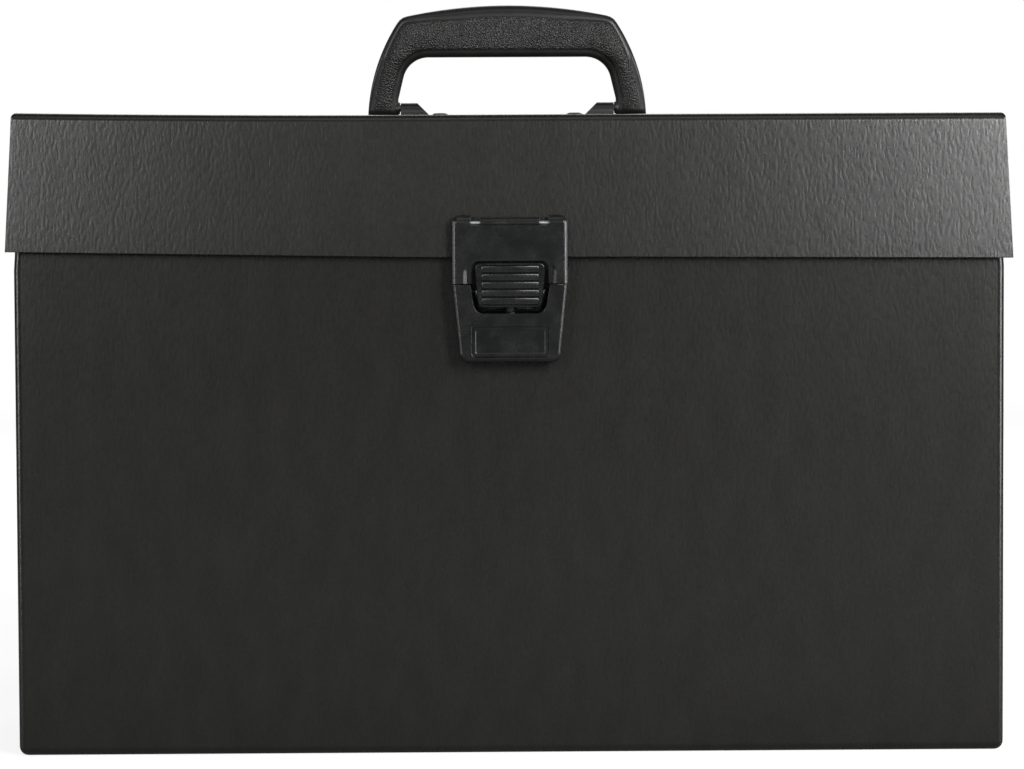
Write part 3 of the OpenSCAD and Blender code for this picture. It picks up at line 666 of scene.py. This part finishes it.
around = len(section(leg_out - leg_in, 0)) - 1
bpy.ops.object.select_all(action="DESELECT")
bpy.ops.mesh.primitive_grid_add(x_subdivisions=len(pairs) - 1, y_subdivisions=around, size=1)
grip = bpy.context.object
grip.name = "handle_grip_moulding"
work_on(grip)
cage = bmesh.from_edit_mesh(grip.data)
pebbled = cage.verts.layers.float.new("pebbled")
for v in cage.verts:
    (ix, iz), (ox, oz) = pairs[round((v.co.x + 0.5) * (len(pairs) - 1))]
    width = math.dist((ix, iz), (ox, oz))
    crown_part = share_of(abs(ox), slim_to, slim_from)
    s, y, rough = section(width, crown_part)[round((v.co.y + 0.5) * around)]
    x, z = ix + (ox - ix) * s / width, iz + (oz - iz) * s / width
    wedge = foot_r + (grip_half_d - foot_r) * share_of(z, pivot_up, grip_under)
    if z < pivot_up:
        wedge = math.sqrt(max(foot_r ** 2 - (pivot_up - z) ** 2, 0))
    v.co = (x, y * wedge / grip_half_d, lid_top + z)
    v[pebbled] = rough * share_of(z, pebbled_from, pebbled_full)
bpy.ops.mesh.select_all(action="SELECT")
bpy.ops.mesh.remove_doubles(threshold=1e-6)
face_out()
done()
# a low round boss on each foot, against the ear
boss_r, boss_in, boss_out = 0.0026, 0.0457, 0.0475
bosses = []
for side in (-1, 1):
    boss = rod("boss", boss_r, boss_out - boss_in, (side * (boss_in + boss_out) / 2, 0, pivot_z), "X")
    ease_edges(boss, 0.0003, 60)
    bosses.append(boss)
join_pieces(grip, bosses)
smooth(grip, 50)
handle_paint, shader, add = new_material("pebbled_handle_plastic")
place = add("ShaderNodeTexCoord")
where = add("ShaderNodeAttribute", attribute_name="pebbled")
pebbles = add("ShaderNodeTexVoronoi", {"Vector": place.outputs["Object"]}, Scale=1600.0)
grit = add("ShaderNodeTexNoise", {"Vector": place.outputs["Object"]}, Scale=1250.0, Detail=2.0)
grain = add("ShaderNodeMath", {0: pebbles.outputs["Distance"], 1: grit.outputs["Fac"]}, operation="ADD")
masked = add("ShaderNodeMath", {0: grain.outputs[0], 1: where.outputs["Fac"]}, operation="MULTIPLY")
wear = add("ShaderNodeTexNoise", {"Vector": place.outputs["Object"]}, Scale=120.0, Detail=3.0)
raise_by(handle_paint, masked.outputs[0], 0.9, 0.00035)
colour_by(handle_paint, wear.outputs["Fac"], 0.3, 0.75, (0.007, 0.007, 0.0068), (0.013, 0.013, 0.0122))
roughen_by(handle_paint, grit.outputs["Fac"], 0.26, 0.46)
shader.inputs["Specular IOR Level"].default_value = 0.4
grip.data.materials.append(handle_paint)
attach(grip, "handle")
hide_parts("handle_grip")

# the plate under the lid, with the two ears that come up beside the handle's feet
plate = soften("handle_plate", "handle_plate_moulding", 0.00035)
plate.data.materials.append(handle_paint)
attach(plate, "lid")

# ---- The eyelets ----
# Two tubular rivets of black enamelled metal, through the lid and the plate. Each is turned down
# into a low dome on the lid, and rolled over its washer below.
eyelet_profile = [(1.40, 259.95), (1.40, 264.50), (1.52, 264.80), (1.75, 264.98), (2.20, 265.00),
                  (2.80, 264.84), (3.30, 264.55), (3.62, 264.22), (3.72, 264.06), (3.62, 264.0),
                  (2.0, 264.0), (2.0, 260.4), (2.75, 260.4), (2.98, 260.22), (3.0, 259.95),
                  (2.75, 259.68), (2.3, 259.6), (1.7, 259.65)]
enamel_paint, shader, add = new_material("black_enamelled_metal")
place = add("ShaderNodeTexCoord")
blotches = add("ShaderNodeTexNoise", {"Vector": place.outputs["Object"]}, Scale=700.0, Detail=4.0)
colour_by(enamel_paint, blotches.outputs["Fac"], 0.45, 0.78, (0.030, 0.030, 0.031), (0.085, 0.083, 0.080))
roughen_by(enamel_paint, blotches.outputs["Fac"], 0.20, 0.42)
raise_by(enamel_paint, blotches.outputs["Fac"], 0.2, 0.00005)
eyelets = []
for side in (-1, 1):
    bpy.ops.object.select_all(action="DESELECT")
    bpy.ops.mesh.primitive_circle_add(vertices=len(eyelet_profile), radius=1)
    eyelet = bpy.context.object
    for v, (r, z) in zip(eyelet.data.vertices, eyelet_profile):
        v.co = (side * eyelet_x + r / 1000, 0, z / 1000)
    work_on(eyelet)
    bpy.ops.mesh.select_all(action="SELECT")
    bpy.ops.mesh.spin(steps=40, angle=2 * math.pi, axis=(0, 0, 1), center=(side * eyelet_x, 0, 0))
    bpy.ops.mesh.select_all(action="SELECT")
    bpy.ops.mesh.remove_doubles(threshold=1e-6)
    face_out()
    done()
    eyelets.append(eyelet)
join_pieces(eyelets[0], eyelets[1:])
eyelet = eyelets[0]
eyelet.name = "handle_eyelets_rolled"
smooth(eyelet, 40)
eyelet.data.materials.append(enamel_paint)
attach(eyelet, "lid")
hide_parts("handle_eyelets")

# ---- The steel fastenings ----
# Zinc-plated pins, rivets, washers and backing plates, turned or stamped, with eased edges. Only the
# pins' short ends beside the ears and in the latch's notch show with the lid shut.
zinc_paint, shader, add = new_material("zinc_plated_steel")
place = add("ShaderNodeTexCoord")
rolling = add("ShaderNodeMapping", {"Vector": place.outputs["Object"]}, Scale=(60, 1800, 1800))
scuffs = add("ShaderNodeTexNoise", {"Vector": rolling.outputs[0]}, Scale=1.0, Detail=4.0)
spangle = add("ShaderNodeTexVoronoi", {"Vector": place.outputs["Object"]}, Scale=450.0)
tone = add("ShaderNodeMix", {2: scuffs.outputs["Fac"], 3: spangle.outputs["Distance"]}, data_type="FLOAT")
colour_by(zinc_paint, tone.outputs[0], 0.3, 0.7, (0.32, 0.33, 0.33), (0.46, 0.47, 0.47))
roughen_by(zinc_paint, tone.outputs[0], 0.36, 0.56)
raise_by(zinc_paint, scuffs.outputs["Fac"], 0.2, 0.00004)
shader.inputs["Metallic"].default_value = 1.0
for node, body_name, ease in (
        ("handle_washers", "lid", 0.0001), ("handle_pins", "handle", 0.0003), ("hasp_pin", "lid", 0.0002),
        ("hasp_rivets", "lid", 0.0003), ("hasp_backing_plate", "lid", 0.0002),
        ("catch_backing_plate", "box", 0.0002), ("catch_rivets", "box", 0.0003)):
    steel = soften(node, node + "_plated", ease)
    steel.data.materials.append(zinc_paint)
    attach(steel, body_name)

# ---- The hasp ----
# The upper half of the latch, moulded in satin black plastic. It hangs from a barrel in the notch at
# its top, hides its rivets in a hollow back, and arches over the push button.
latch_half, latch_front, latch_ease, chamfer_round = 0.02385, 0.012, 0.00022, 0.32
hasp_low, hasp_high, hasp_back = 0.1950, 0.2230, 0.0064
hasp_corner_r, hasp_chamfer = 0.0035, 0.0019
pin_z, pin_out, knuckle_r, knuckle_low = 0.2197, 0.0087, 0.0033, 0.2150
barrel_room_r, pin_bore_r, pin_bore_half = 0.0025, 0.00105, 0.0203
notch_half, cheek_half, notch_deep, notch_back, notch_slope = 0.0163, 0.0157, 0.0037, 0.0086, 0.0005
hollow_low, hollow_front, side_wall = 0.2057, 0.0088, 0.0033
window_half, window_foot, window_r = 0.0158, 0.190, 0.003
arch_top, ledge_top, ledge_front = 0.2043, 0.2020, 0.0080
scoop_w, scoop_top, scoop_r = 0.0038, arch_top + 0.0016, 0.0058
scoop_back, scoop_front, scoop_deep, scoop_run_out, scoop_inset = 0.0110, 0.0126, 0.0103, 0.0020, 0.0016
profile_half, spare = 0.03, 0.001


def front_block(name, half, low, high, out_from, out_to):
    """A block centred on the front, by how far it stands out from the body's face."""
    return block(name, (-half, -body_y - out_to, low), (half, -body_y - out_from, high))


def outline_piece(name, outline, out_from, out_to):
    """A flat outline of X and Z that stands on the front, between two distances out from it."""
    bpy.ops.object.select_all(action="DESELECT")
    bpy.ops.mesh.primitive_circle_add(vertices=len(outline), radius=1, fill_type="NGON")
    piece = bpy.context.object
    piece.name = name
    for v, (x, z) in zip(piece.data.vertices, outline):
        v.co = (x, -body_y - out_to, z)
    work_on(piece)
    bpy.ops.mesh.select_all(action="SELECT")
    bpy.ops.mesh.extrude_region()
    bpy.ops.transform.translate(value=(0, out_to - out_from, 0))
    face_out()
    done()
    return piece


def window_outline(half, low, high, radius, steps=8):
    """An opening with a flat top between two rounded corners, and a square foot."""
    side = [(half, low)] + arc((half - radius, high - radius), radius, 0, math.pi / 2, steps)
    return side + [(-x, z) for x, z in reversed(side)]


def cup_outline(foot_half, slope, low, high, radius):
    """An outline with two rounded corners at its foot, and sides that lean out as they rise."""
    lean = math.atan(slope)
    centre = foot_half + slope * radius - radius / math.cos(lean)
    side = [(foot_half + slope * (high - low), high)]
    side += arc((centre, low + radius), radius, -lean, -math.pi / 2, 8)
    return side + [(-x, z) for x, z in reversed(side)]


hasp = outline_piece("hasp_moulding", window_outline(latch_half, hasp_low, hasp_high, hasp_corner_r),
                     0, latch_front)
work_on(hasp)
pick(hasp, "EDGE", lambda c: all(v.y < -body_y - latch_front + near for v in c)
     and not all(v.z < hasp_low + near for v in c))
bpy.ops.mesh.bevel(offset=hasp_chamfer, segments=5, profile=chamfer_round, affect="EDGES")
done()
# its side view: a full round about the pin at the top
bpy.ops.object.select_all(action="DESELECT")
side_view = [(hasp_back, hasp_low - spare), (latch_front + spare, hasp_low - spare),
             (latch_front + spare, knuckle_low - spare), (latch_front, knuckle_low)]
side_view += arc((pin_out, pin_z), knuckle_r, 0, math.pi, 20) + [(hasp_back, pin_z)]
bpy.ops.mesh.primitive_circle_add(vertices=len(side_view), radius=1, fill_type="NGON")
profile = bpy.context.object
for v, (out, z) in zip(profile.data.vertices, side_view):
    v.co = (-profile_half, -body_y - out, z)
work_on(profile)
bpy.ops.mesh.select_all(action="SELECT")
bpy.ops.mesh.extrude_region()
bpy.ops.transform.translate(value=(2 * profile_half, 0, 0))
face_out()
done()
finish_with(hasp, "BOOLEAN", operation="INTERSECT", solver="EXACT", object=profile)
bpy.data.objects.remove(profile)
# the notch, its cheeks flaring to the front
notch = front_block("notch", cheek_half, hasp_high - notch_deep, hasp_high + 2 * spare,
                    0, latch_front + 0.1 * spare)
work_on(notch)
pick(notch, "VERT", lambda c: c[0].y < -body_y - latch_front)
bpy.ops.transform.resize(value=(notch_half / cheek_half, 1, 1), center_override=(0, 0, 0))
pick(notch, "VERT", lambda c: c[0].y < -body_y - latch_front and c[0].z < hasp_high)
bpy.ops.transform.translate(value=(0, 0, -notch_slope))
pick(notch, "VERT", lambda c: c[0].y > -body_y - spare)
bpy.ops.transform.translate(value=(0, -notch_back, 0))
done()
cut_away(hasp, notch)
pin_place = (0, -body_y - pin_out, pin_z)
cut_away(hasp, rod("barrel_room", barrel_room_r, 2 * cheek_half, pin_place, "X"))
cut_away(hasp, front_block("neck_hollow", notch_half, hollow_low, hasp_high + spare, 0, hollow_front))
cut_away(hasp, front_block("hollow", latch_half - side_wall, hollow_low, pin_z - knuckle_r, 0, hollow_front))
cut_away(hasp, outline_piece("arch", window_outline(window_half, window_foot, arch_top, window_r),
                             ledge_front, latch_front + spare))
cut_away(hasp, outline_piece("ledge", window_outline(window_half, window_foot, ledge_top, window_r),
                             0, ledge_front + 0.5 * spare))
cut_away(hasp, rod("pin_bore", pin_bore_r, 2 * pin_bore_half, pin_place, "X"))
# the scoop beside the arch, deepest at the parting line and running out at the top
scoop = outline_piece("scoop", window_outline(window_half + scoop_w, window_foot, scoop_top, scoop_r, 12),
                      scoop_back, scoop_front)
work_on(scoop)
cage = bmesh.from_edit_mesh(scoop.data)
for v in cage.verts:
    if v.co.y > -body_y - (scoop_back + scoop_front) / 2:
        v.co.y = -body_y - (scoop_deep + scoop_run_out * share_of(v.co.z, hasp_low, scoop_top) ** 2.4)
        v.co.x *= 1 - scoop_inset / window_half
bmesh.update_edit_mesh(scoop.data)
done()
cut_away(hasp, scoop)
ease_edges(hasp, latch_ease, 38)
smooth(hasp, 40)
even_shade(hasp)
latch_paint, shader, add = new_material("satin_latch_plastic")
place = add("ShaderNodeTexCoord")
flow = add("ShaderNodeTexNoise", {"Vector": place.outputs["Object"]}, Scale=140.0, Detail=5.0, Roughness=0.6)
pores = add("ShaderNodeTexNoise", {"Vector": place.outputs["Object"]}, Scale=1500.0, Detail=2.0)
rubbed = add("ShaderNodeMath", {0: flow.outputs["Fac"], 1: pores.outputs["Fac"]}, operation="ADD")
colour_by(latch_paint, flow.outputs["Fac"], 0.35, 0.72, (0.0060, 0.0063, 0.0066), (0.0100, 0.0104, 0.0108))
roughen_by(latch_paint, rubbed.outputs[0], 0.19, 0.31, start=0.7, end=1.3)
raise_by(latch_paint, rubbed.outputs[0], 0.25, 0.00005)
shader.inputs["Specular IOR Level"].default_value = 0.4
hasp.data.materials.append(latch_paint)
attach(hasp, "hasp")
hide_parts("hasp")

# the barrel that shows in the notch, and its plate on the flap
bracket = soften("hasp_bracket", "hasp_bracket_moulding", 0.00025)
bracket.data.materials.append(latch_paint)
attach(bracket, "lid")

# ---- The catch housing ----
# The lower half of the latch, of the same plastic, riveted to the body. The button slides in a bay
# behind its cup, and a plain plate fills the sunk frame over the lower rivets.
housing_low, housing_high, housing_foot_half, housing_slope = 0.1626, 0.1946, 0.0205, 0.0984
housing_corner_r, housing_chamfer = 0.004, 0.0017
base_half, base_low, base_gap = 0.0185, 0.1651, 0.00015
bay_half, bay_low, bay_high, bay_front, bay_mouth_low = 0.0173, 0.1791, 0.1924, 0.0098, 0.1795
cup_low, cup_slope, cup_corner_r, cup_flare, cup_dip = 0.1830, 0.17, 0.004, 1.035, 0.0003
open_top = housing_high + spare
face_z, face_half_x, face_half_z, face_corner = 0.17115, 0.0156, 0.00615, 0.0013
face_back, face_front, face_gap, face_gap_above = 0.0097, 0.0115, 0.0002, 0.00005
face_rim, face_sunk = 0.0013, 0.00035
pocket_half_x, pocket_half_z, pocket_back = face_half_x - 0.0015, 0.00495, 0.0032
rivet_x, rivet_room_r = 0.009, 0.00152
housing = outline_piece("catch_housing_moulding", cup_outline(housing_foot_half, housing_slope, housing_low,
                                                              housing_high, housing_corner_r),
                        0, latch_front)
work_on(housing)
pick(housing, "EDGE", lambda c: all(v.y < -body_y - latch_front + near for v in c)
     and not all(v.z > housing_high - near for v in c))
bpy.ops.mesh.bevel(offset=housing_chamfer, segments=5, profile=chamfer_round, affect="EDGES")
done()
cut_away(housing, front_block("base_room", base_half + base_gap, base_low - base_gap, open_top,
                              -spare, 2 * spare))
cut_away(housing, front_block("bay", bay_half, bay_low, bay_high, spare, bay_front))
cut_away(housing, front_block("bay_mouth", window_half, bay_mouth_low, open_top, spare, bay_front))
cup_foot_half = window_half - cup_slope * (housing_high - cup_low)
cup = outline_piece("cup", cup_outline(cup_foot_half, cup_slope, cup_low, open_top, cup_corner_r),
                    2 * spare, latch_front + 0.5 * spare)
work_on(cup)
pick(cup, "VERT", lambda c: c[0].y < -body_y - latch_front)
bpy.ops.transform.resize(value=(cup_flare, 1, 1), center_override=(0, 0, 0))
pick(cup, "VERT", lambda c: c[0].y < -body_y - latch_front and c[0].z < housing_high)
bpy.ops.transform.translate(value=(0, 0, -cup_dip))
done()
cut_away(housing, cup)
cut_away(housing, front_block("pocket", pocket_half_x, face_z - pocket_half_z, face_z + pocket_half_z,
                              pocket_back, latch_front))
frame_cut = front_block("frame", face_half_x + face_gap, face_z - face_half_z - face_gap,
                        face_z + face_half_z + face_gap_above, face_back, latch_front + 0.3 * spare)
work_on(frame_cut)
pick(frame_cut, "EDGE", lambda c: abs(c[0].y - c[1].y) > near and c[0].z < face_z)
bpy.ops.mesh.bevel(offset=face_corner + 0.0001, segments=1, affect="EDGES")
done()
cut_away(housing, frame_cut)
for side in (-1, 1):
    rivet_place = (side * rivet_x, -body_y - 2 * spare, face_z)
    cut_away(housing, rod("rivet_room", rivet_room_r, 4 * spare, rivet_place, "Y", 24))
ease_edges(housing, latch_ease, 38)
smooth(housing, 40)
even_shade(housing)
housing.data.materials.append(latch_paint)
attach(housing, "box")
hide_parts("catch_housing")

# the plain plate in the frame, a shallow tray with its rim proud
face = front_block("catch_face_plate_moulding", face_half_x, face_z - face_half_z, face_z + face_half_z,
                   face_back, face_front)
work_on(face)
pick(face, "EDGE", lambda c: abs(c[0].y - c[1].y) > near and c[0].z < face_z)
bpy.ops.mesh.bevel(offset=face_corner, segments=1, affect="EDGES")
pick(face, "FACE", lambda c: all(v.y < -body_y - face_front + near for v in c))
bpy.ops.mesh.inset(thickness=face_rim, use_even_offset=True)
bpy.ops.mesh.inset(thickness=0.0003, depth=-face_sunk, use_even_offset=True)
done()
ease_edges(face, 0.00018, 30)
smooth(face, 40)
even_shade(face)
face.data.materials.append(latch_paint)
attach(face, "box")
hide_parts("catch_face_plate")

base = soften("catch_base", "catch_base_moulding", 0.0002)
base.data.materials.append(latch_paint)
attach(base, "box")

# ---- The push button ----
# A pad of the same plastic with five rounded ribs for the thumb, on a carrier that is trapped
# behind the housing's skin. Its upper lip holds the ledge inside the hasp's arch.
pad_low, pad_high, pad_half_low, pad_half_high = 0.1851, 0.2035, 0.0131, 0.0145
pad_low_r, pad_high_r, pad_ease = 0.003, 0.0025, 0.0006
pad_back, pad_front, rib_front, bed_front = 0.0083, 0.0104, 0.0107, 0.0096
pad_slope = (pad_half_high - pad_half_low) / (pad_high - pad_low)
rib_half_x, rib_half_z, rib_gap = 0.0119, 0.0015, 0.0002
rib_pitch = (pad_high - pad_low) / 5.6
rib_places = [pad_low + (i + 0.8) * rib_pitch for i in range(5)]
carrier_half, carrier_low, carrier_high, carrier_back, carrier_front = 0.0170, 0.1834, 0.1921, 0.0034, 0.0058
spring_out, tube_r, tube_bore_r, tube_high, tube_bore_high = 0.00645, 0.0027, 0.0022, 0.1904, 0.1901
neck_half, neck_low, neck_high, neck_back, neck_front = 0.0122, pad_low + 0.0012, 0.1918, 0.0056, 0.0090
lower = arc((pad_half_low + pad_slope * pad_low_r - pad_low_r, pad_low + pad_low_r), pad_low_r,
            -math.atan(pad_slope), -math.pi / 2, 7)
upper = arc((pad_half_high - pad_high_r, pad_high - pad_high_r), pad_high_r, math.pi / 2, 0, 7)
pad_side = upper + lower
button = outline_piece("catch_button_moulding", pad_side + [(-x, z) for x, z in reversed(pad_side)],
                       pad_back, pad_front)
work_on(button)
pick(button, "EDGE", lambda c: all(v.y < -body_y - pad_front + near for v in c))
bpy.ops.mesh.bevel(offset=pad_ease, segments=3, affect="EDGES")
done()
cut_away(button, front_block("rib_bed", rib_half_x - 2 * rib_gap, rib_places[0] - rib_half_z - rib_gap,
                             rib_places[-1] + rib_half_z + rib_gap, bed_front, latch_front))
smooth(button, 40)
even_shade(button)
carrier = front_block("carrier", carrier_half, carrier_low, carrier_high, carrier_back, carrier_front)
tube_middle = (0, -body_y - spring_out, (carrier_low + tube_high) / 2)
spring_tube = rod("spring_tube", tube_r, tube_high - carrier_low, tube_middle, "Z")
finish_with(carrier, "BOOLEAN", operation="UNION", solver="EXACT", object=spring_tube)
bpy.data.objects.remove(spring_tube)
bore_low = carrier_low - 2 * spare
bore_middle = (0, -body_y - spring_out, (bore_low + tube_bore_high) / 2)
cut_away(carrier, rod("tube_bore", tube_bore_r, tube_bore_high - bore_low, bore_middle, "Z"))
ease_edges(carrier, 0.0003, 40)
smooth(carrier, 40)
neck = front_block("neck", neck_half, neck_low, neck_high, neck_back, neck_front)
ribs = []
for rib_z in rib_places:
    rib = front_block("rib", rib_half_x, rib_z - rib_half_z, rib_z + rib_half_z,
                      bed_front - rib_gap, rib_front)
    work_on(rib)
    pick(rib, "EDGE", lambda c: all(v.y < -body_y - rib_front + near for v in c))
    bpy.ops.mesh.bevel(offset=pad_ease, segments=4, affect="EDGES")
    done()
    smooth(rib, 60)
    ribs.append(rib)
join_pieces(button, [carrier, neck, *ribs])
button.data.materials.append(latch_paint)
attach(button, "button")
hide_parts("catch_button")

# ---- The return spring ----
# A coil of half-millimetre zinc-plated wire under the button. It stands on the floor of the bay, and
# its upper end sits in the tube behind the pad.
spring_low, spring_high, wire_r, coil_r, turns = 0.1791, 0.1901, 0.00025, 0.00175, 9
bpy.ops.object.select_all(action="DESELECT")
bpy.ops.mesh.primitive_circle_add(vertices=10, radius=wire_r, rotation=(math.pi / 2, 0, 0),
                                  location=(coil_r, 0, spring_low + wire_r), fill_type="NGON")
spring = bpy.context.object
spring.name = "catch_spring_coil"
bpy.ops.object.transform_apply(location=True, rotation=True, scale=True)
coil_rise = (spring_high - spring_low - 2 * wire_r) / turns
finish_with(spring, "SCREW", axis="Z", angle=2 * math.pi, iterations=turns, steps=20, render_steps=20,
            screw_offset=coil_rise, use_merge_vertices=True, merge_threshold=1e-6)
work_on(spring)
bpy.ops.mesh.select_all(action="SELECT")
bpy.ops.transform.translate(value=(0, -body_y - spring_out, 0))
face_out()
done()
smooth(spring, 50)
spring.data.materials.append(zinc_paint)
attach(spring, "box")
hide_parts("catch_spring")
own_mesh(spring)
